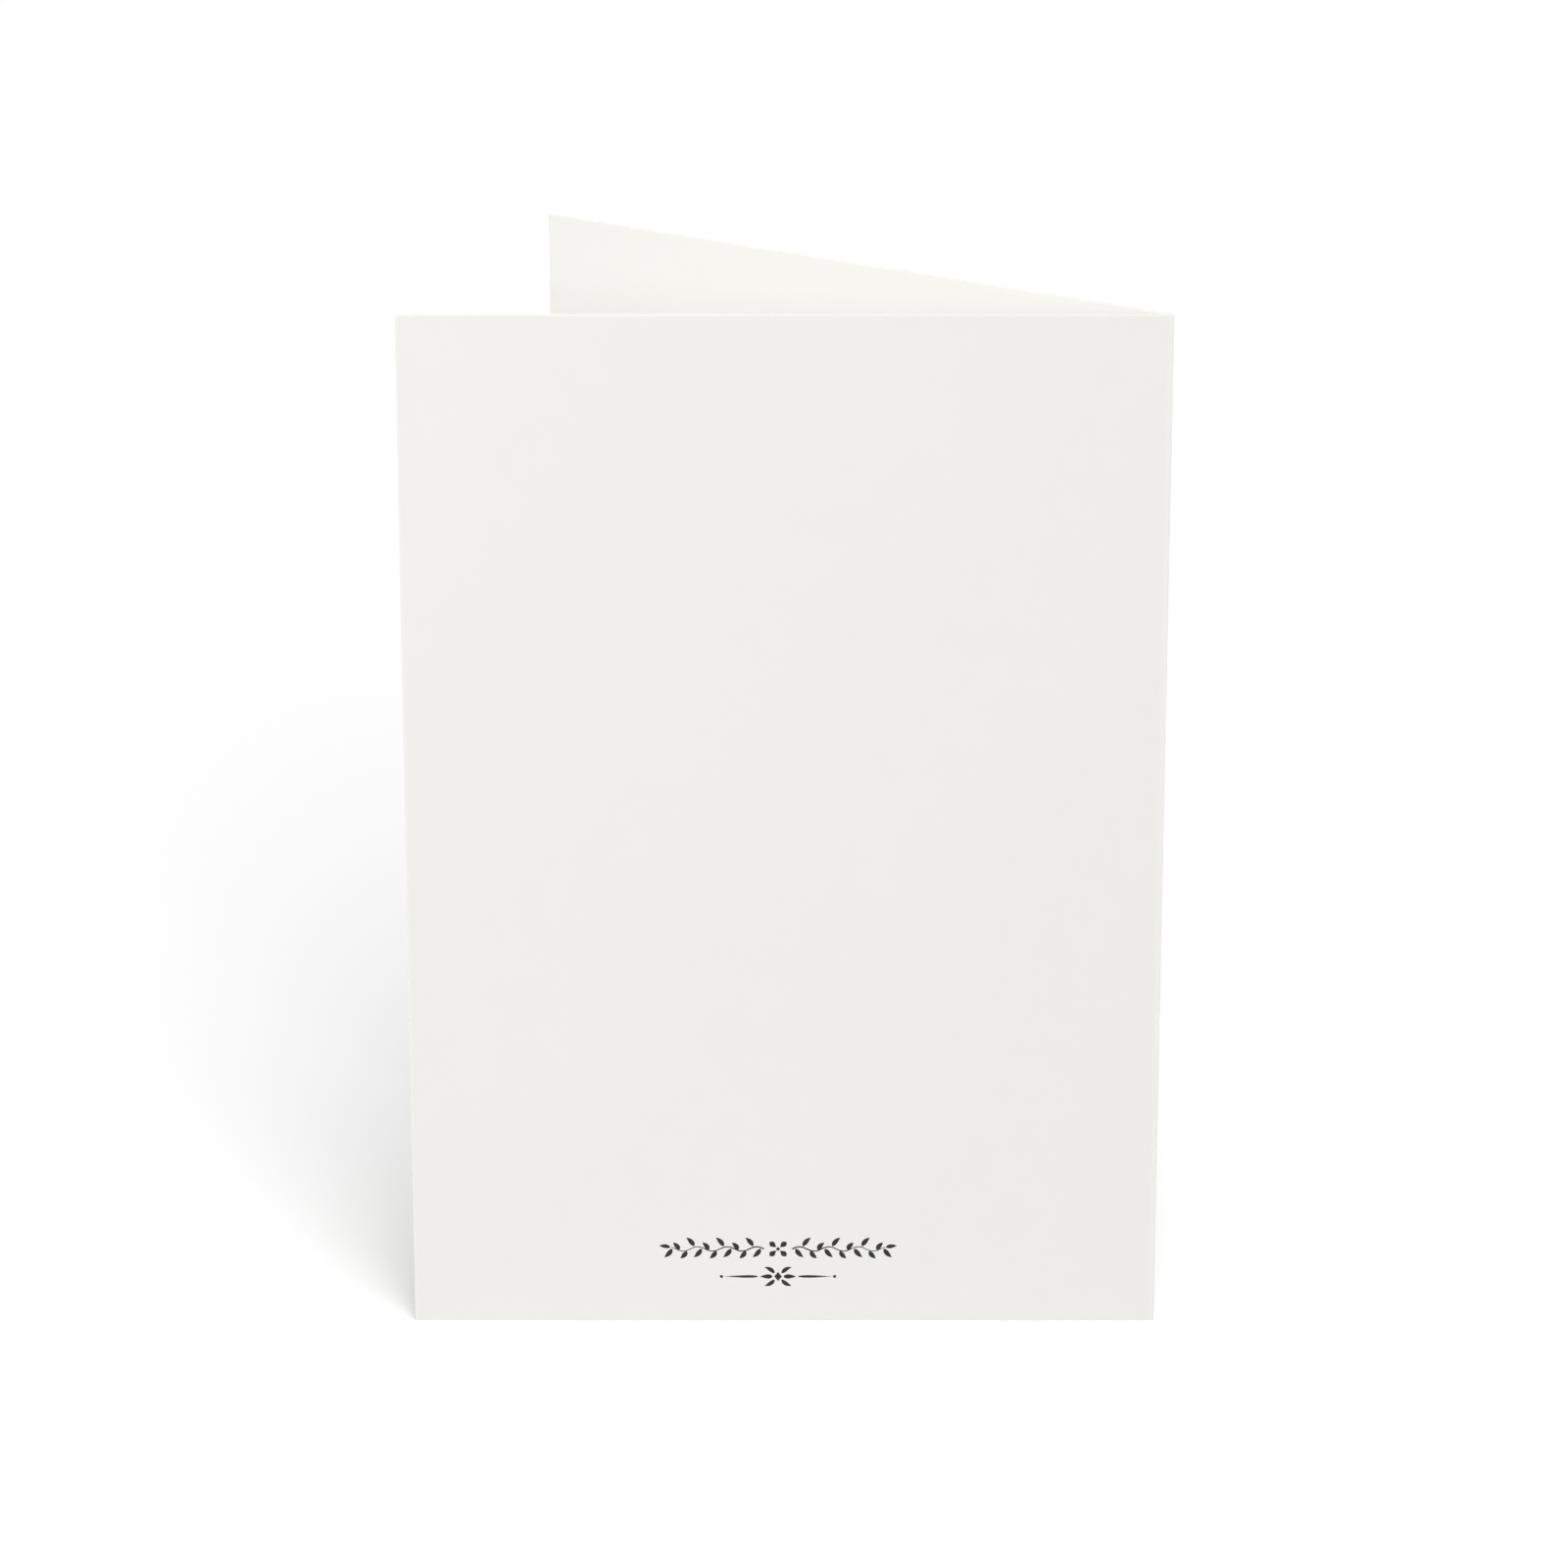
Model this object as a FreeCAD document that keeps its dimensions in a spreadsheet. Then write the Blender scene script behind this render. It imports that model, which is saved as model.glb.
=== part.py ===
# Folded greeting card, 5 x 7 inch, standing open on its lower edges.
#
# The real card is one rectangle of 16 point card stock, 10 x 7 inch, creased down its middle and
# folded once. It stands with the fold upright and the two leaves spread like a V. The back leaf
# lies along -X from the fold, with its outer face towards -Y. The front leaf swings from it by
# the opening angle, towards +Y. The origin is the foot of the fold line, and +Z runs up the fold.
#
# Both leaves and the crease have one section all the way up, so the card is that section padded
# by the height of the sheet. The leaves' inner faces lie at the bend radius from the fold line and
# their outer faces one stock thickness further out. A creasing rule has pressed the board at the
# fold, which leaves two marks: a shallow score outside, from its shoulders to the spine, and a
# bead of loosened board inside, which fills the root of the V.

import FreeCAD
import Part
import Sketcher

import math
import os

# Driving dimensions, in millimetres and degrees
DIMENSIONS = (
    ("panel_width", 127.0, "folded width, from the spine to a free edge"),
    ("panel_height", 177.8, "height of the sheet, along the fold"),
    ("stock_thickness", 0.4, "16 point card stock"),
    ("opening_angle", 34.6, "degrees between the two leaves"),
    ("bend_radius", 0.15, "inside radius of the fold"),
    ("score_depth", 0.03, "how far the rule has pressed the outer face in at the spine"),
    ("score_half_width", 0.7, "fold line to the shoulder where the score begins"),
    ("bead_radius", 0.75, "fold line to the crown of the bead"),
    ("bead_blend_radius", 0.12, "hollow where the bead runs out into a leaf"),
)
SHEET_NAME = "card"

# Sketcher's number for the horizontal axis, whose start is the sketch's own origin
X_AXIS = -1


def make_sheet(doc):
    """The spreadsheet that drives the card: name, number and note on one row each."""
    sheet = doc.addObject("Spreadsheet::Sheet", SHEET_NAME)
    for row, (alias, value, note) in enumerate(DIMENSIONS, start=1):
        sheet.set(f"A{row}", alias)
        sheet.set(f"B{row}", str(value))
        sheet.set(f"C{row}", note)
        sheet.setAlias(f"B{row}", alias)
    doc.recompute()
    return sheet


def polar(radius, angle):
    """The point of the section at this radius from the fold line and this angle from +X."""
    return FreeCAD.Vector(radius * math.cos(angle), radius * math.sin(angle), 0)


def mirrored(point, angle):
    """The point's mirror image in the line through the fold line at this angle from +X."""
    return polar(point.Length, 2 * angle - math.atan2(point.y, point.x))


def draw_section(sketch, sheet):
    """Draws the section of the opened card and ties each of its sizes to the sheet."""
    outer_radius = sheet.bend_radius + sheet.stock_thickness
    spine_radius = outer_radius - sheet.score_depth
    leaf_reach = sheet.panel_width - spine_radius
    blend_reach = sheet.bead_radius + sheet.bead_blend_radius
    middle = math.pi - math.radians(sheet.opening_angle) / 2
    fold_line = FreeCAD.Vector(0, 0, 0)
    upward = FreeCAD.Vector(0, 0, 1)

    # Corners of the back leaf, which lies along -X
    outer_free = FreeCAD.Vector(-leaf_reach, -outer_radius, 0)
    inner_free = FreeCAD.Vector(-leaf_reach, -sheet.bend_radius, 0)
    shoulder = FreeCAD.Vector(-sheet.score_half_width, -outer_radius, 0)
    shoulder_angle = math.atan2(shoulder.y, shoulder.x)
    spine_angle = shoulder_angle + math.acos(spine_radius / shoulder.Length)
    spine_start = polar(spine_radius, spine_angle)

    # The hollow between the bead and the back leaf
    blend_rise = sheet.bead_blend_radius - sheet.bend_radius
    blend_centre = FreeCAD.Vector(-math.sqrt(blend_reach**2 - blend_rise**2), blend_rise, 0)
    blend_on_leaf = blend_centre - FreeCAD.Vector(0, sheet.bead_blend_radius, 0)
    bead_angle = math.atan2(blend_centre.y, blend_centre.x) % (2 * math.pi)

    def circle(centre, radius):
        return Part.Circle(centre, upward, radius)

    def far(point):
        return mirrored(point, middle)

    edges = {
        "back_outer": Part.LineSegment(outer_free, shoulder),
        "back_score": Part.LineSegment(shoulder, spine_start),
        "spine": Part.ArcOfCircle(
            circle(fold_line, spine_radius), spine_angle, 2 * middle - spine_angle - 2 * math.pi
        ),
        "front_score": Part.LineSegment(far(spine_start), far(shoulder)),
        "front_outer": Part.LineSegment(far(shoulder), far(outer_free)),
        "front_edge": Part.LineSegment(far(outer_free), far(inner_free)),
        "front_inner": Part.LineSegment(far(inner_free), far(blend_on_leaf)),
        "front_blend": Part.ArcOfCircle(
            circle(far(blend_centre), sheet.bead_blend_radius),
            2 * middle - bead_angle - math.pi,
            2 * middle + math.pi / 2,
        ),
        "bead": Part.ArcOfCircle(
            circle(fold_line, sheet.bead_radius), 2 * middle - bead_angle, bead_angle
        ),
        "back_blend": Part.ArcOfCircle(
            circle(blend_centre, sheet.bead_blend_radius), -math.pi / 2, bead_angle - math.pi
        ),
        "back_inner": Part.LineSegment(blend_on_leaf, inner_free),
        "back_edge": Part.LineSegment(inner_free, outer_free),
        "middle_line": Part.LineSegment(fold_line, polar(sheet.panel_width, middle)),
    }
    number = {name: sketch.addGeometry(edge, name == "middle_line") for name, edge in edges.items()}

    # Sketcher counts the points of an edge from one
    start, end, centre = range(1, 4)
    origin = (X_AXIS, start)

    def arguments(places):
        """What a constraint takes for its places: each is an edge, or a pair of edge and point."""
        numbers = []
        for place in places:
            edge, *point = (place,) if isinstance(place, str) else place
            numbers += [number.get(edge, edge), *point]
        return numbers

    def tie(kind, *places):
        """A constraint with no size of its own."""
        sketch.addConstraint(Sketcher.Constraint(kind, *arguments(places)))

    def size(label, kind, value, expression, *places):
        """A constraint that holds a size, which its expression takes from the sheet."""
        index = sketch.addConstraint(Sketcher.Constraint(kind, *arguments(places), value))
        sketch.renameConstraint(index, label)
        sketch.setExpression(f".Constraints.{label}", expression)

    # The outline closes round both leaves, and is smooth wherever an arc meets its neighbour
    tie("Coincident", ("back_outer", end), ("back_score", start))
    tie("Tangent", ("back_score", end), ("spine", start))
    tie("Tangent", ("spine", end), ("front_score", start))
    tie("Coincident", ("front_score", end), ("front_outer", start))
    tie("Coincident", ("front_outer", end), ("front_edge", start))
    tie("Coincident", ("front_edge", end), ("front_inner", start))
    tie("Tangent", ("front_inner", end), ("front_blend", end))
    tie("Tangent", ("front_blend", start), ("bead", start))
    tie("Tangent", ("bead", end), ("back_blend", end))
    tie("Tangent", ("back_blend", start), ("back_inner", start))
    tie("Coincident", ("back_inner", end), ("back_edge", start))
    tie("Coincident", ("back_edge", end), ("back_outer", start))
    tie("Coincident", ("spine", centre), origin)
    tie("Coincident", ("bead", centre), origin)
    tie("Coincident", ("middle_line", start), origin)
    tie("Horizontal", "back_outer")
    tie("Horizontal", "back_inner")
    tie("Vertical", "back_edge")

    # The front leaf is the back leaf's mirror image in the plane halfway between them
    tie("Symmetric", ("back_outer", start), ("front_outer", end), "middle_line")
    tie("Symmetric", ("back_outer", end), ("front_outer", start), "middle_line")
    tie("Symmetric", ("back_inner", end), ("front_inner", start), "middle_line")
    tie("Symmetric", ("back_inner", start), ("front_inner", end), "middle_line")

    outer_sum = "card.bend_radius + card.stock_thickness"
    spine_sum = f"{outer_sum} - card.score_depth"
    free_end, score_end = ("back_outer", start), ("back_outer", end)
    size("middle_angle", "Angle", middle, "180 - card.opening_angle / 2", "middle_line")
    size("middle_length", "Distance", sheet.panel_width, "card.panel_width", "middle_line")
    size("spine_radius", "Radius", spine_radius, spine_sum, "spine")
    reach = f"card.panel_width - ({spine_sum})"
    size("leaf_reach", "DistanceX", leaf_reach, reach, free_end, origin)
    size("outer_offset", "DistanceY", outer_radius, outer_sum, free_end, origin)
    size("thickness", "Distance", sheet.stock_thickness, "card.stock_thickness", "back_edge")
    shoulder_reach = "card.score_half_width"
    size("shoulder", "DistanceX", sheet.score_half_width, shoulder_reach, score_end, origin)
    size("bead_radius", "Radius", sheet.bead_radius, "card.bead_radius", "bead")
    size("blend_radius", "Radius", sheet.bead_blend_radius, "card.bead_blend_radius", "back_blend")


def make_folded_card(doc, sheet):
    """The whole card: its folded section, padded along the fold by the sheet's height."""
    body = doc.addObject("PartDesign::Body", "FoldedCard")
    body.Label = "folded_card"
    ground = next(plane for plane in body.Origin.OriginFeatures if plane.Role == "XY_Plane")

    section = body.newObject("Sketcher::SketchObject", "FoldedSection")
    section.AttachmentSupport = [(ground, "")]
    section.MapMode = "FlatFace"
    draw_section(section, sheet)
    doc.recompute()

    leaves = body.newObject("PartDesign::Pad", "SheetHeight")
    leaves.Profile = section
    leaves.setExpression("Length", "card.panel_height")
    doc.recompute()
    body.Tip = leaves
    return body


def check(doc, bodies):
    """Stops the build if an object failed, or if a body is not one sound solid."""
    for item in doc.Objects:
        if {"Invalid", "Error"} & set(item.State):
            raise RuntimeError(f"{item.Name} failed: {item.State}")
    for body in bodies:
        shape = body.Shape
        if shape.isNull() or not shape.isValid() or len(shape.Solids) != 1:
            raise RuntimeError(f"{body.Label} is not one sound solid")


def main():
    doc = FreeCAD.newDocument("greeting_card")
    sheet = make_sheet(doc)
    bodies = [make_folded_card(doc, sheet)]
    doc.recompute()
    check(doc, bodies)
    os.makedirs("parts", exist_ok=True)
    for body in bodies:
        body.Shape.exportStep(f"parts/{body.Label}.step")
        box = body.Shape.BoundBox
        print(
            f"{body.Label}: {body.Shape.Volume:.1f} mm3, "
            f"{box.XLength:.2f} x {box.YLength:.2f} x {box.ZLength:.2f} mm"
        )


main()
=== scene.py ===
import math

import bpy
import numpy as np
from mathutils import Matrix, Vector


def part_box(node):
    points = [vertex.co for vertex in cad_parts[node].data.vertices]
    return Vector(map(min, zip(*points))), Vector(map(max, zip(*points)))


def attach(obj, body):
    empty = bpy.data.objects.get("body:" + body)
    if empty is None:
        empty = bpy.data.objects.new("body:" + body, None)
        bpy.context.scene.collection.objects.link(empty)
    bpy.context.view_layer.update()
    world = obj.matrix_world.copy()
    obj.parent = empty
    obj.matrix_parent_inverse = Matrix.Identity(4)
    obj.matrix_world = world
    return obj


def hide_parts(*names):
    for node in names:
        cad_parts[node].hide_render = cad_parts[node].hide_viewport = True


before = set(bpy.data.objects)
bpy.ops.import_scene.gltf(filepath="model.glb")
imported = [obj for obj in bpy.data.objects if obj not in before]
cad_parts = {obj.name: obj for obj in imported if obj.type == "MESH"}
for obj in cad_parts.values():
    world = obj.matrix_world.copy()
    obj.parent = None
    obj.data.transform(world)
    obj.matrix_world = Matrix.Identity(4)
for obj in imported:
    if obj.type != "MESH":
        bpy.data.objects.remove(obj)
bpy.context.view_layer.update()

card_low, card_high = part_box("folded_card")

# Camera
# It looks square on at the back leaf's outer face, from a little above and through a long lens.
# Its place and lens come from the corners of that leaf and the free corner of the leaf behind it.
eye_before_leaf = 0.9613
eye_height = 0.4178
eye_off_middle = -0.0001
look_down = math.radians(18.44)
lens_mm = 139.36
sensor_mm = 36.0

camera_data = bpy.data.cameras.new("camera")
camera_data.lens = lens_mm
camera_data.sensor_width = sensor_mm
camera = bpy.data.objects.new("camera", camera_data)
leaf_middle = (card_low.x + card_high.x) / 2
camera.location = (leaf_middle + eye_off_middle, card_low.y - eye_before_leaf, eye_height)
camera.rotation_euler = (math.pi / 2 - look_down, 0, 0)
bpy.context.scene.collection.objects.link(camera)
bpy.context.scene.camera = camera

# Folded sheet
# The card itself: one rectangle of 16 point stock, creased down its middle, folded once and cut
# square by a guillotine. The creasing rule has left a shallow score outside the fold and a bead
# of loosened board inside it.
stock = 0.0004
opening = math.radians(34.6)
bend_radius = 0.00015
score_depth = 0.00003
score_half_width = 0.0007
bead_radius = 0.00075
bead_blend = 0.00012
outer_radius = bend_radius + stock
spine_radius = outer_radius - score_depth
halfway = math.pi - opening / 2
leaf_reach = -card_low.x
sheet_height = card_high.z

# The blade draws the surface down gently towards a cut, then leaves a slightly rounded corner
draw_width = 0.0005
draw_depth = 0.000008
corner_radius = 0.00002

# The stock is never quite flat: it has a few long, faint waves, which turn by wave_turn radians a
# metre or less either way, and grow to their full height over a width beside the fold
wave_seed = 5
wave_count = 5
wave_turn = 110
wave_height = 0.000012
faintest_wave = 0.5
growth_width = 0.03

# Places near a cut edge, close together, and how many places the rest is divided into
corner_steps = 5
corner_places = corner_radius * (1 - np.cos(np.linspace(0, math.pi / 2, corner_steps)))
draw_places = draw_width * np.array([0.2, 0.34, 0.5, 0.66, 0.83, 1.0, 1.3, 2.0])
fold_columns = 22
leaf_columns = 44
sheet_rows = 88

# Points on the fold's arcs before they are divided evenly, and where the flat leaf's columns
# start, as a multiple of the way from the fold to the hollow's centre
spine_points = 60
bead_points = 40
leaf_start = 1.06


def arc(radius, start, end, count, centre=(0.0, 0.0)):
    """Points on a circle: its centre plus the radius times cosine and sine of even angles."""
    angles = np.linspace(start, end, count)
    return np.array(centre) + radius * np.stack([np.cos(angles), np.sin(angles)], 1)


def evenly(points, count):
    """count points along a line of points, each coordinate read at even steps of its length."""
    steps = np.hypot(*np.diff(points, axis=0).T)
    length = np.concatenate([[0.0], np.cumsum(steps)])
    at = np.linspace(0, length[-1], count)
    return np.stack([np.interp(at, length, points[:, axis]) for axis in (0, 1)], 1)


def between(low, high, count):
    """Places from low to high: the close steps of a cut edge at high, even steps elsewhere."""
    near_edge = high - np.concatenate([corner_places, draw_places])[::-1]
    return np.concatenate([np.linspace(low, near_edge[0], count)[:-1], near_edge])


def half_section():
    """The outer and inner lines of the back leaf, from the fold's middle plane to its free edge.

    Outside, a spine arc runs into the score's slope, then the flat leaf. Inside, the bead's arc
    runs into a small hollow arc, then the flat leaf. The two lines have equally many points, which
    along the flat leaf lie at the same places, so that each outer point has an inner one behind.
    """
    shoulder = np.array([-score_half_width, -outer_radius])
    spine_end = math.atan2(*shoulder[::-1]) + math.acos(spine_radius / np.hypot(*shoulder))
    spine = arc(spine_radius, -opening / 2, spine_end, spine_points)
    fold_outer = evenly(np.vstack([spine, shoulder]), fold_columns)

    rise = bead_blend - bend_radius
    hollow = np.array([-math.sqrt((bead_radius + bead_blend) ** 2 - rise**2), rise])
    bead_end = math.atan2(hollow[1], hollow[0]) % (2 * math.pi)
    bead = arc(bead_radius, halfway, bead_end, bead_points)
    blend = arc(bead_blend, bead_end - math.pi, -math.pi / 2, bead_points, hollow)
    fold_inner = evenly(np.vstack([bead, blend]), fold_columns)

    along_leaf = between(-hollow[0] * leaf_start, leaf_reach, leaf_columns)
    leaf_outer = np.stack([-along_leaf, np.full_like(along_leaf, -outer_radius)], 1)
    leaf_inner = np.stack([-along_leaf, np.full_like(along_leaf, -bend_radius)], 1)
    return np.vstack([fold_outer, leaf_outer]), np.vstack([fold_inner, leaf_inner])


def both_leaves(line):
    """A half section and its mirror image in the fold's middle plane, as one line of points."""
    cosine, sine = math.cos(2 * halfway), math.sin(2 * halfway)
    mirrored = line[1:] @ np.array([[cosine, sine], [sine, -cosine]])
    return np.vstack([line[::-1], mirrored])


def waver(along, height):
    """How far the sheet stands off its plane: a few long, faint waves, still at the fold.

    The waves are sines of both distances, with random strengths, lengths and phases. They grow
    from the fold by the square of the share of the growth width passed times three less twice
    that share.
    """
    rng = np.random.default_rng(wave_seed)
    waves = sum(
        rng.uniform(faintest_wave, 1.0)
        * np.sin(along * turn_along + height * turn_up + rng.uniform(0, 2 * math.pi))
        for turn_along, turn_up in rng.uniform(-wave_turn, wave_turn, (wave_count, 2))
    )
    away = np.clip(np.abs(along) / growth_width, 0, 1)
    return wave_height * waves * away**2 * (3 - 2 * away)


def quads(*corners):
    """Four-sided faces from four arrays of vertex numbers, one for each corner."""
    return np.stack([corner.ravel() for corner in corners], 1)


def folded_sheet():
    """The closed sheet: its vertices, its skins' faces, its cut faces, and each vertex's distance
    from the nearest cut edge.

    The two skins are the outer and inner lines carried up the height of the sheet. Towards a cut
    edge both are drawn in by the draw depth times the square of one less the share of the draw
    width that is left. At the edge itself they round off on the corner radius: it, less the root
    of its square minus the square of the way past the corner's centre. The cut faces join them.
    """
    outer, inner = (both_leaves(line) for line in half_section())
    heights = between(sheet_height / 2, sheet_height, sheet_rows // 2)
    heights = np.concatenate([sheet_height - heights[::-1], heights[1:]])

    middle = (outer + inner) / 2
    steps = np.hypot(*np.diff(middle, axis=0).T)
    along = np.concatenate([[0.0], np.cumsum(steps)])
    to_free = np.minimum(along, along[-1] - along)[:, None]
    to_end = np.minimum(heights, sheet_height - heights)[None, :]
    from_fold = (along - along[-1] / 2)[:, None]

    past = np.hypot(*(np.clip(corner_radius - far, 0, None) for far in (to_free, to_end)))
    rounded = corner_radius - np.sqrt(corner_radius**2 - np.minimum(past, corner_radius) ** 2)
    drawn = sum(np.clip(1 - far / draw_width, 0, None) ** 2 for far in (to_free, to_end))
    drawn_in = rounded + draw_depth * drawn

    across = outer - inner
    across /= np.hypot(*across.T)[:, None]
    off_plane = waver(from_fold, heights[None, :])
    upright = np.broadcast_to(heights[None, :, None], off_plane.shape + (1,))
    skins = []
    for line, side in ((outer, -1), (inner, 1)):
        plan = line[:, None] + (side * drawn_in + off_plane)[..., None] * across[:, None]
        skins.append(np.concatenate([plan, upright], 2).reshape(-1, 3))

    columns, rows = drawn_in.shape
    front = np.arange(columns * rows).reshape(columns, rows)
    rear = front + columns * rows
    skin_faces = np.concatenate([
        quads(front[:-1, :-1], front[1:, :-1], front[1:, 1:], front[:-1, 1:]),
        quads(rear[:-1, :-1], rear[:-1, 1:], rear[1:, 1:], rear[1:, :-1]),
    ])
    cut_faces = np.concatenate([
        quads(front[1:, 0], front[:-1, 0], rear[:-1, 0], rear[1:, 0]),
        quads(front[:-1, -1], front[1:, -1], rear[1:, -1], rear[:-1, -1]),
        quads(front[0, :-1], front[0, 1:], rear[0, 1:], rear[0, :-1]),
        quads(front[-1, 1:], front[-1, :-1], rear[-1, :-1], rear[-1, 1:]),
    ])
    from_edge = np.tile(np.minimum(to_free, to_end).ravel(), 2)
    return np.concatenate(skins), skin_faces, cut_faces, from_edge


vertices, skin_faces, cut_faces, from_edge = folded_sheet()
sheet_mesh = bpy.data.meshes.new("folded_sheet")
sheet_mesh.from_pydata(vertices.tolist(), [], np.concatenate([skin_faces, cut_faces]).tolist())
edge_attribute = sheet_mesh.attributes.new("from_edge", "FLOAT", "POINT")
edge_attribute.data.foreach_set("value", from_edge.astype(np.float32))
sheet_mesh.shade_smooth()
sheet = bpy.data.objects.new("folded_sheet", sheet_mesh)
bpy.context.scene.collection.objects.link(sheet)
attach(sheet, "root")
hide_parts("folded_card")

# Uncoated stock, pressed smooth and faintly cloudy, and a paler painted highlight at its cut edges
# and spine
paper_white = (0.896, 0.887, 0.855, 1)
paper_pale = (0.903, 0.894, 0.863, 1)
paper_deep = (0.889, 0.880, 0.847, 1)
# Painted highlight at the cut edges and spine; over the spine it is partly the crease's paler
# cracked fibres
highlight_white = (0.918, 0.911, 0.884, 1)
# Cut faces: partly the cut board's own grey, partly painted shade that tones down the well-lit top
# edges
cut_grey_and_shade = (0.77, 0.76, 0.725, 1)
paper_roughness = 0.85
cut_roughness = 0.95
paper_specular = 0.3
cloud_size = 0.007
cloud_detail = 2.0
fibre_size = 0.0005
fibre_detail = 3.0
fibre_roughness = 0.6
fibre_height = 0.0000012
fibre_breadth_to_length = 0.3
crease_inner = 0.00058
crease_outer = 0.00085


def node(owner, kind, inputs, **settings):
    """A shader node of a material or a world. inputs gives its sockets, by name or number, a
    value or what feeds them."""
    made = owner.node_tree.nodes.new("ShaderNode" + kind)
    for name, value in settings.items():
        setattr(made, name, value)
    for place, value in inputs.items():
        if isinstance(value, bpy.types.NodeSocket):
            owner.node_tree.links.new(value, made.inputs[place])
        else:
            made.inputs[place].default_value = value
    return made.outputs


def between_colours(material, factor, first, second):
    """The colour from first to second. Mix keeps its colour sockets after those for numbers."""
    factor_in, first_in, second_in, colour_out = 0, 6, 7, 2
    mixed = {factor_in: factor, first_in: first, second_in: second}
    return node(material, "Mix", mixed, data_type="RGBA")[colour_out]


def fading(material, distance, start, end):
    """1 up to the start distance, and from there evenly down to 0 at the end distance."""
    fade = {"Value": distance, "From Min": start, "From Max": end, "To Min": 1.0, "To Max": 0.0}
    return node(material, "MapRange", fade)["Result"]


def paper_stock(name, colour, roughness):
    """A matt paper of this colour whose fibres, raised by a bump, lie along the fold."""
    material = bpy.data.materials.new(name)
    material.use_nodes = True
    shader = material.node_tree.nodes["Principled BSDF"]
    shader.inputs["Base Color"].default_value = colour
    shader.inputs["Roughness"].default_value = roughness
    shader.inputs["Specular IOR Level"].default_value = paper_specular
    place = node(material, "TexCoord", {})["Object"]
    lengthwise = {"Vector": place, "Scale": (1, 1, fibre_breadth_to_length)}
    along_fold = node(material, "Mapping", lengthwise)["Vector"]
    fibres = {"Vector": along_fold, "Scale": 1 / fibre_size, "Detail": fibre_detail}
    height = node(material, "TexNoise", {**fibres, "Roughness": fibre_roughness})["Fac"]
    bump = node(material, "Bump", {"Height": height, "Distance": fibre_height})["Normal"]
    material.node_tree.links.new(bump, shader.inputs["Normal"])
    return material, shader, place


paper, shader, place = paper_stock("card_stock", paper_white, paper_roughness)
clouds = {"Vector": place, "Scale": 1 / cloud_size, "Detail": cloud_detail}
cloudy = between_colours(paper, node(paper, "TexNoise", clouds)["Fac"], paper_pale, paper_deep)

# Painted highlight: paler near a cut edge, and over the spine, where cracked crease fibres are
# paler too
edge_distance = node(paper, "Attribute", {}, attribute_name="from_edge")["Fac"]
near_edge = fading(paper, edge_distance, 0.0, draw_width)
in_plan = node(paper, "Mapping", {"Vector": place, "Scale": (1, 1, 0)})["Vector"]
fold_distance = node(paper, "VectorMath", {0: in_plan}, operation="LENGTH")["Value"]
crease_pale_and_highlight = fading(paper, fold_distance, crease_inner, crease_outer)
highlight_share = node(paper, "Math", {0: near_edge, 1: crease_pale_and_highlight}, operation="MAXIMUM")["Value"]
colour = between_colours(paper, highlight_share, cloudy, highlight_white)
paper.node_tree.links.new(colour, shader.inputs["Base Color"])

# The cut faces' greyer colour is partly the cut board's own tone, partly painted shade for the
# brightly lit top edges
cut_edge = paper_stock("cut_edge", cut_grey_and_shade, cut_roughness)[0]
sheet_mesh.materials.append(paper)
sheet_mesh.materials.append(cut_edge)
is_cut = np.arange(len(sheet_mesh.polygons)) >= len(skin_faces)
sheet_mesh.polygons.foreach_set("material_index", is_cut.astype(np.int32))

# Printed ornament
# Two short rows of black offset ink, centred low on the back leaf: a vine that runs out both ways
# from a four-petalled flower, and under it a pair of swelled rules about a lozenge. Each stroke is
# a closed film of its own, a little proud of the paper.
ornament_middle = -0.0641
vine_above_foot = 0.0133
rules_above_foot = 0.0082
ink_film = 0.00002
ink_sunk = 0.00002
ink_across = np.array([-1, -0.9, -0.55, 0, 0.55, 0.9, 1])
tip_width = 0.00001

# How strokes are shaped: the power that rounds a leaf, the shares of their length at which leaves
# and rules are fullest, how near its poles a dot starts, and the points along each kind of stroke
leaf_roundness = 0.9
leaf_fullest = 0.42
rule_fullest = 0.3
dot_start = 0.06
leaf_points = 15
rule_points = 25
lozenge_points = 9
dot_points = 17
stem_points = 90


def turned(place, angle, distance):
    """The point at this distance from a place, in a direction at this angle from the right."""
    return np.array(place) + distance * np.array([math.cos(angle), math.sin(angle)])


def peak_power(fullest):
    """The power that brings this share of a length to one half, where the sine of pi peaks."""
    return math.log(0.5) / math.log(fullest)


def leaf(root, angle, length, breadth, bend=0.0, fullest=leaf_fullest):
    """The midrib and half widths of a leaf-shaped stroke.

    The midrib's heading turns evenly by bend from root to tip, and its points are the running sum
    of the heading's cosine and sine. The half width is half the breadth times a power, the leaf's
    roundness, of the sine of pi times a power of the share of the length run. That sine is
    largest where the share is fullest.
    """
    share = np.linspace(0, 1, leaf_points)
    heading = angle + bend * (share - 0.5)
    step = np.stack([np.cos(heading), np.sin(heading)], 1) * length / (len(share) - 1)
    midrib = np.array(root) + np.vstack([[0, 0], np.cumsum((step[1:] + step[:-1]) / 2, axis=0)])
    swell = np.sin(math.pi * share ** peak_power(fullest)) ** leaf_roundness
    return midrib, tip_width + breadth / 2 * swell


def swelled_rule(start, end, breadth):
    """A straight stroke whose half width is half its breadth times the sine of pi times a power of
    the share of its length run, so that it swells near its start and thins out to its end."""
    share = np.linspace(0, 1, rule_points)[:, None]
    line = np.array(start) * (1 - share) + np.array(end) * share
    swell = np.sin(math.pi * share[:, 0] ** peak_power(rule_fullest))
    return line, tip_width + breadth / 2 * swell


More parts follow.
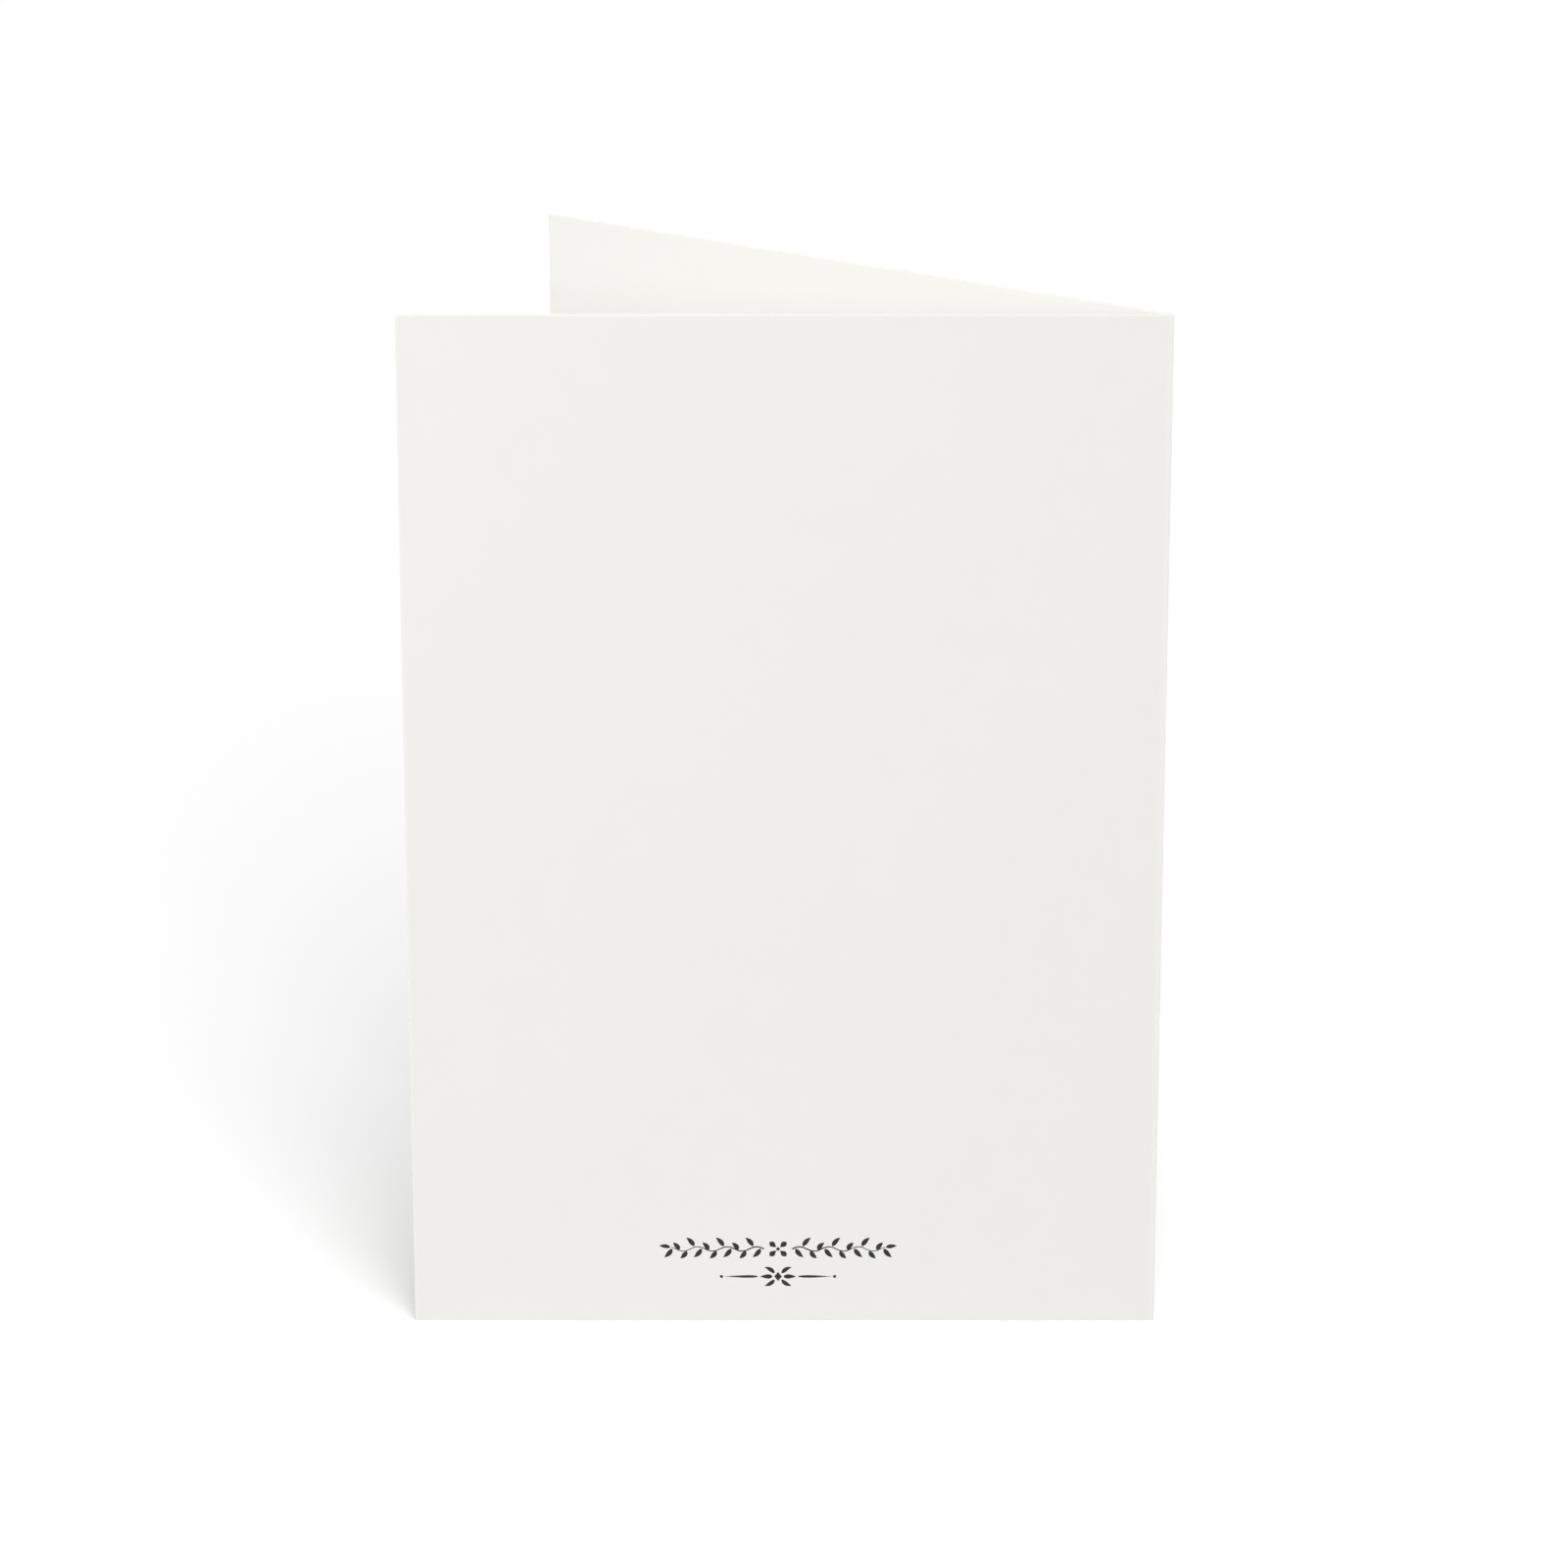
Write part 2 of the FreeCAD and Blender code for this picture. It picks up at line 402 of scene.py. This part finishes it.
def lozenge(centre, width, height):
    """A diamond: its half width falls evenly from the middle of its line to both ends."""
    share = np.linspace(-1, 1, lozenge_points)
    line = np.array(centre) + np.stack([share * width / 2, 0 * share], 1)
    return line, tip_width + height / 2 * (1 - np.abs(share))


def dot(centre, width):
    """A round dot: its line runs by the radius times the cosine of an angle that turns evenly, and
    its half width is the radius times the sine."""
    turn = np.linspace(dot_start, math.pi - dot_start, dot_points)
    line = np.array(centre) + np.stack([-np.cos(turn) * width / 2, 0 * turn], 1)
    return line, np.sin(turn) * width / 2


# The vine's stem, and the leaves that leave it at each quarter wave, in turn below and above
stem_start = 0.0024
stem_end = 0.0183
stem_rise = 0.0004
stem_wave = 0.00505
stem_half_width = 0.00012
stem_thinned = 0.5
first_leaf = 0.0005
last_leaf = 0.0002
leaf_angle = math.radians(56)
leaf_gap = 0.0002
leaf_lean = 0.1
long_leaf = 0.0021
short_leaf = 0.00175
leaf_breadth = 0.00082
leaf_bend = 0.6

# The leaf at the stem's tip, and the flower's petals and eye
tip_leaf_gap = 0.00016
tip_leaf_angle = math.radians(8)
tip_leaf_length = 0.0019
tip_leaf_breadth = 0.00072
tip_leaf_bend = -0.3
petal_angle = math.radians(42)
petal_gap = 0.00044
petal_length = 0.0015
petal_breadth = 0.00098
petal_fullest = 0.6
flower_eye = 0.00062


def vine_stem():
    """A stem whose height is its rise times the sine of two pi times the waves run, and that thins
    evenly to its tip."""
    x = np.linspace(stem_start, stem_end, stem_points)
    line = np.stack([x, stem_rise * np.sin(2 * math.pi * (x - stem_start) / stem_wave)], 1)
    return line, tip_width + stem_half_width * np.linspace(1, stem_thinned, len(x))


def vine_row():
    """Half of the vine row's strokes, to the right of its middle."""
    stem = vine_stem()
    strokes = [stem]
    leaf_places = np.arange(stem_start + first_leaf, stem_end - last_leaf, stem_wave / 4)
    for count, x in enumerate(leaf_places):
        up = 1 if count % 2 else -1
        on_stem = (x, np.interp(x, *stem[0].T))
        angle = up * leaf_angle
        length = long_leaf if count % 4 < 2 else short_leaf
        root = turned(on_stem, angle, leaf_gap)
        leans_back = angle - up * leaf_lean
        strokes.append(leaf(root, leans_back, length, leaf_breadth, bend=-up * leaf_bend))
    tip = stem[0][-1] + [tip_leaf_gap, 0]
    strokes.append(leaf(tip, tip_leaf_angle, tip_leaf_length, tip_leaf_breadth, tip_leaf_bend))
    for angle in (petal_angle, -petal_angle):
        root = turned((0, 0), angle, petal_gap)
        strokes.append(leaf(root, angle, petal_length, petal_breadth, fullest=petal_fullest))
    return strokes


# The lozenge, the three leaves on each side of it, and the rule and dot beyond them
lozenge_width = 0.0013
lozenge_height = 0.0017
bud_root = 0.00095
bud_length = 0.0021
bud_breadth = 0.0008
bud_fullest = 0.36
sprig_root = np.array([0.00062, 0.00056])
sprig_angle = math.radians(34)
sprig_length = 0.0021
sprig_breadth = 0.00072
sprig_bend = 0.9
rule_start = 0.0034
rule_end = 0.0091
rule_breadth = 0.00046
end_dot_place = 0.0097
end_dot_width = 0.00056


def rules_row():
    """Half of the rules row's strokes, to the right of its middle."""
    strokes = [
        leaf((bud_root, 0), 0.0, bud_length, bud_breadth, fullest=bud_fullest),
        swelled_rule((rule_start, 0), (rule_end, 0), rule_breadth),
        dot((end_dot_place, 0), end_dot_width),
    ]
    for up in (1, -1):
        root = sprig_root * [1, up]
        angle = up * sprig_angle
        strokes.append(leaf(root, angle, sprig_length, sprig_breadth, bend=-up * sprig_bend))
    return strokes


def ink_film_over(line, half_width, first):
    """Vertices and faces of one closed stroke, whose line runs in the plane of the back leaf.

    Each point of the line carries a ring. Its upper side stands proud by the film times the root
    of one less the square of the place across; its two feet lie inside the paper. A flat face
    closes each end. The vertices are numbered from first.
    """
    run = np.gradient(line, axis=0)
    run /= np.hypot(*run.T)[:, None]
    side = np.stack([-run[:, 1], run[:, 0]], 1)
    across = np.concatenate([ink_across, [1, -1]])
    proud = np.concatenate([ink_film * np.sqrt(1 - ink_across**2), [-ink_sunk, -ink_sunk]])
    ring = line[:, None] + side[:, None] * (half_width[:, None] * across)[..., None]
    x, z = ring[..., 0], ring[..., 1]
    y = -outer_radius - waver(x, z) - proud
    count, around = x.shape
    index = first + np.arange(count * around).reshape(count, around)
    onward = np.roll(index, -1, axis=1)
    walls = quads(index[:-1], index[1:], onward[1:], onward[:-1]).tolist()
    ends = [index[0].tolist(), index[-1, ::-1].tolist()]
    return np.stack([x, y, z], 2).reshape(-1, 3), walls + ends


strokes = []
for height, half_row in ((vine_above_foot, vine_row()), (rules_above_foot, rules_row())):
    middle = np.array([ornament_middle, height])
    for line, half_width in half_row:
        strokes += [(middle + line, half_width), (middle + line * [-1, 1], half_width)]
strokes.append(dot((ornament_middle, vine_above_foot), flower_eye))
strokes.append(lozenge((ornament_middle, rules_above_foot), lozenge_width, lozenge_height))

ink_vertices = []
ink_faces = []
for line, half_width in strokes:
    film, faces = ink_film_over(line, half_width, len(ink_vertices))
    ink_vertices += film.tolist()
    ink_faces += faces
ornament_mesh = bpy.data.meshes.new("printed_ornament")
ornament_mesh.from_pydata(ink_vertices, [], ink_faces)
ornament_mesh.shade_smooth()
ornament = bpy.data.objects.new("printed_ornament", ornament_mesh)
bpy.context.scene.collection.objects.link(ornament)
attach(ornament, "root")

ink_black = (0.016, 0.016, 0.018, 1)
ink_roughness = 0.6
ink_specular = 0.3

ink = bpy.data.materials.new("ink")
ink.use_nodes = True
shader = ink.node_tree.nodes["Principled BSDF"]
shader.inputs["Base Color"].default_value = ink_black
shader.inputs["Roughness"].default_value = ink_roughness
shader.inputs["Specular IOR Level"].default_value = ink_specular
ornament_mesh.materials.append(ink)

# Floor
# A pale matt floor, a hair below the card's foot. To look at, it is white wherever the card leaves
# no shadow; to the card it is darker, so that it throws little light back up.
floor_reach = 5.0
floor_drop = 0.00002
floor_seen = 0.818
floor_bounce = 0.14
floor_glow = 0.188

floor_mesh = bpy.data.meshes.new("floor")
corners = floor_reach * np.array([(-1, -1, 0), (1, -1, 0), (1, 1, 0), (-1, 1, 0)])
floor_mesh.from_pydata((corners - [0, 0, floor_drop]).tolist(), [], [(0, 1, 2, 3)])
floor = bpy.data.objects.new("floor", floor_mesh)
bpy.context.scene.collection.objects.link(floor)

floor_paint = bpy.data.materials.new("floor")
floor_paint.use_nodes = True
shader = floor_paint.node_tree.nodes["Principled BSDF"]
shader.inputs["Roughness"].default_value = 1.0
shader.inputs["Specular IOR Level"].default_value = 0.0
shader.inputs["Emission Color"].default_value = (1, 1, 1, 1)


def by_ray(owner, looked_at, lit_by):
    """The value looked_at for a ray from the camera, or one that a gloss or a glass sends on, and
    the value lit_by for all others."""
    ray = node(owner, "LightPath", {})
    sent_on = {0: ray["Is Glossy Ray"], 1: ray["Is Transmission Ray"]}
    sent_on = node(owner, "Math", sent_on, operation="MAXIMUM")["Value"]
    is_looked_at = {0: ray["Is Camera Ray"], 1: sent_on}
    is_looked_at = node(owner, "Math", is_looked_at, operation="MAXIMUM")["Value"]
    values = {"Value": is_looked_at, "To Min": lit_by, "To Max": looked_at}
    return node(owner, "MapRange", values)["Result"]


grey = by_ray(floor_paint, floor_seen, floor_bounce)
glow = by_ray(floor_paint, floor_glow, 0.0)
floor_paint.node_tree.links.new(grey, shader.inputs["Base Color"])
floor_paint.node_tree.links.new(glow, shader.inputs["Emission Strength"])
floor_mesh.materials.append(floor_paint)

# Lights
# The key is a tall softbox, far off and a little right of the front, and its shadow shows at the
# card's left. Three small softboxes light the card alone: one reaches into the mouth of the V from
# near its left, one lights the cover and rims the spine, and one lights the back leaf's inside.
lit_middle = np.array([-0.06, 0.02, 0.08])


def softbox(name, side, rise, distance, width, height, watts):
    """A softbox aimed at the card's middle.

    Its direction has the sine of side and minus its cosine, times the cosine of rise, as x and y,
    and the sine of rise as z. side, in degrees, is measured round from the front, towards the
    right, and rise, in degrees, from level.
    """
    light = bpy.data.lights.new(name, "AREA")
    light.shape = "RECTANGLE"
    light.size = width
    light.size_y = height
    light.energy = watts
    lamp = bpy.data.objects.new(name, light)
    side, rise = math.radians(side), math.radians(rise)
    flat = math.cos(rise)
    direction = np.array([math.sin(side) * flat, -math.cos(side) * flat, math.sin(rise)])
    lamp.location = lit_middle + distance * direction
    lamp.rotation_euler = (math.pi / 2 - rise, 0, side)
    lamp.visible_camera = False
    bpy.context.scene.collection.objects.link(lamp)
    return lamp


softbox("key", side=10.6, rise=46.4, distance=38.4, width=23.4, height=61.4, watts=20900)

# The left fill is so near and high that the back leaf's tone falls a little towards its foot
fills = [
    softbox("left_fill", side=-75.6, rise=29, distance=0.5, width=0.3, height=0.3, watts=0.68),
    softbox("cover_fill", side=116, rise=8, distance=1.8, width=1.0, height=1.0, watts=18),
    softbox("inside_fill", side=-158, rise=8, distance=1.8, width=1.0, height=1.0, watts=9),
]
lit_by_fill = bpy.data.collections.new("lit_by_fill")
lit_by_fill.objects.link(sheet)
lit_by_fill.objects.link(ornament)
for lamp in fills:
    lamp.light_linking.receiver_collection = lit_by_fill

# World
# A white surround to look at, and a faint even sky for all that it lights, which fills in the
# shadows that the lamps leave.
sky_seen = 1.0
sky_light = 0.313

world = bpy.data.worlds.new("world")
bpy.context.scene.world = world
world.use_nodes = True
sky = world.node_tree.nodes["Background"]
sky.inputs["Color"].default_value = (1, 1, 1, 1)
world.node_tree.links.new(by_ray(world, sky_seen, sky_light), sky.inputs["Strength"])

bpy.context.scene.view_settings.view_transform = "Standard"
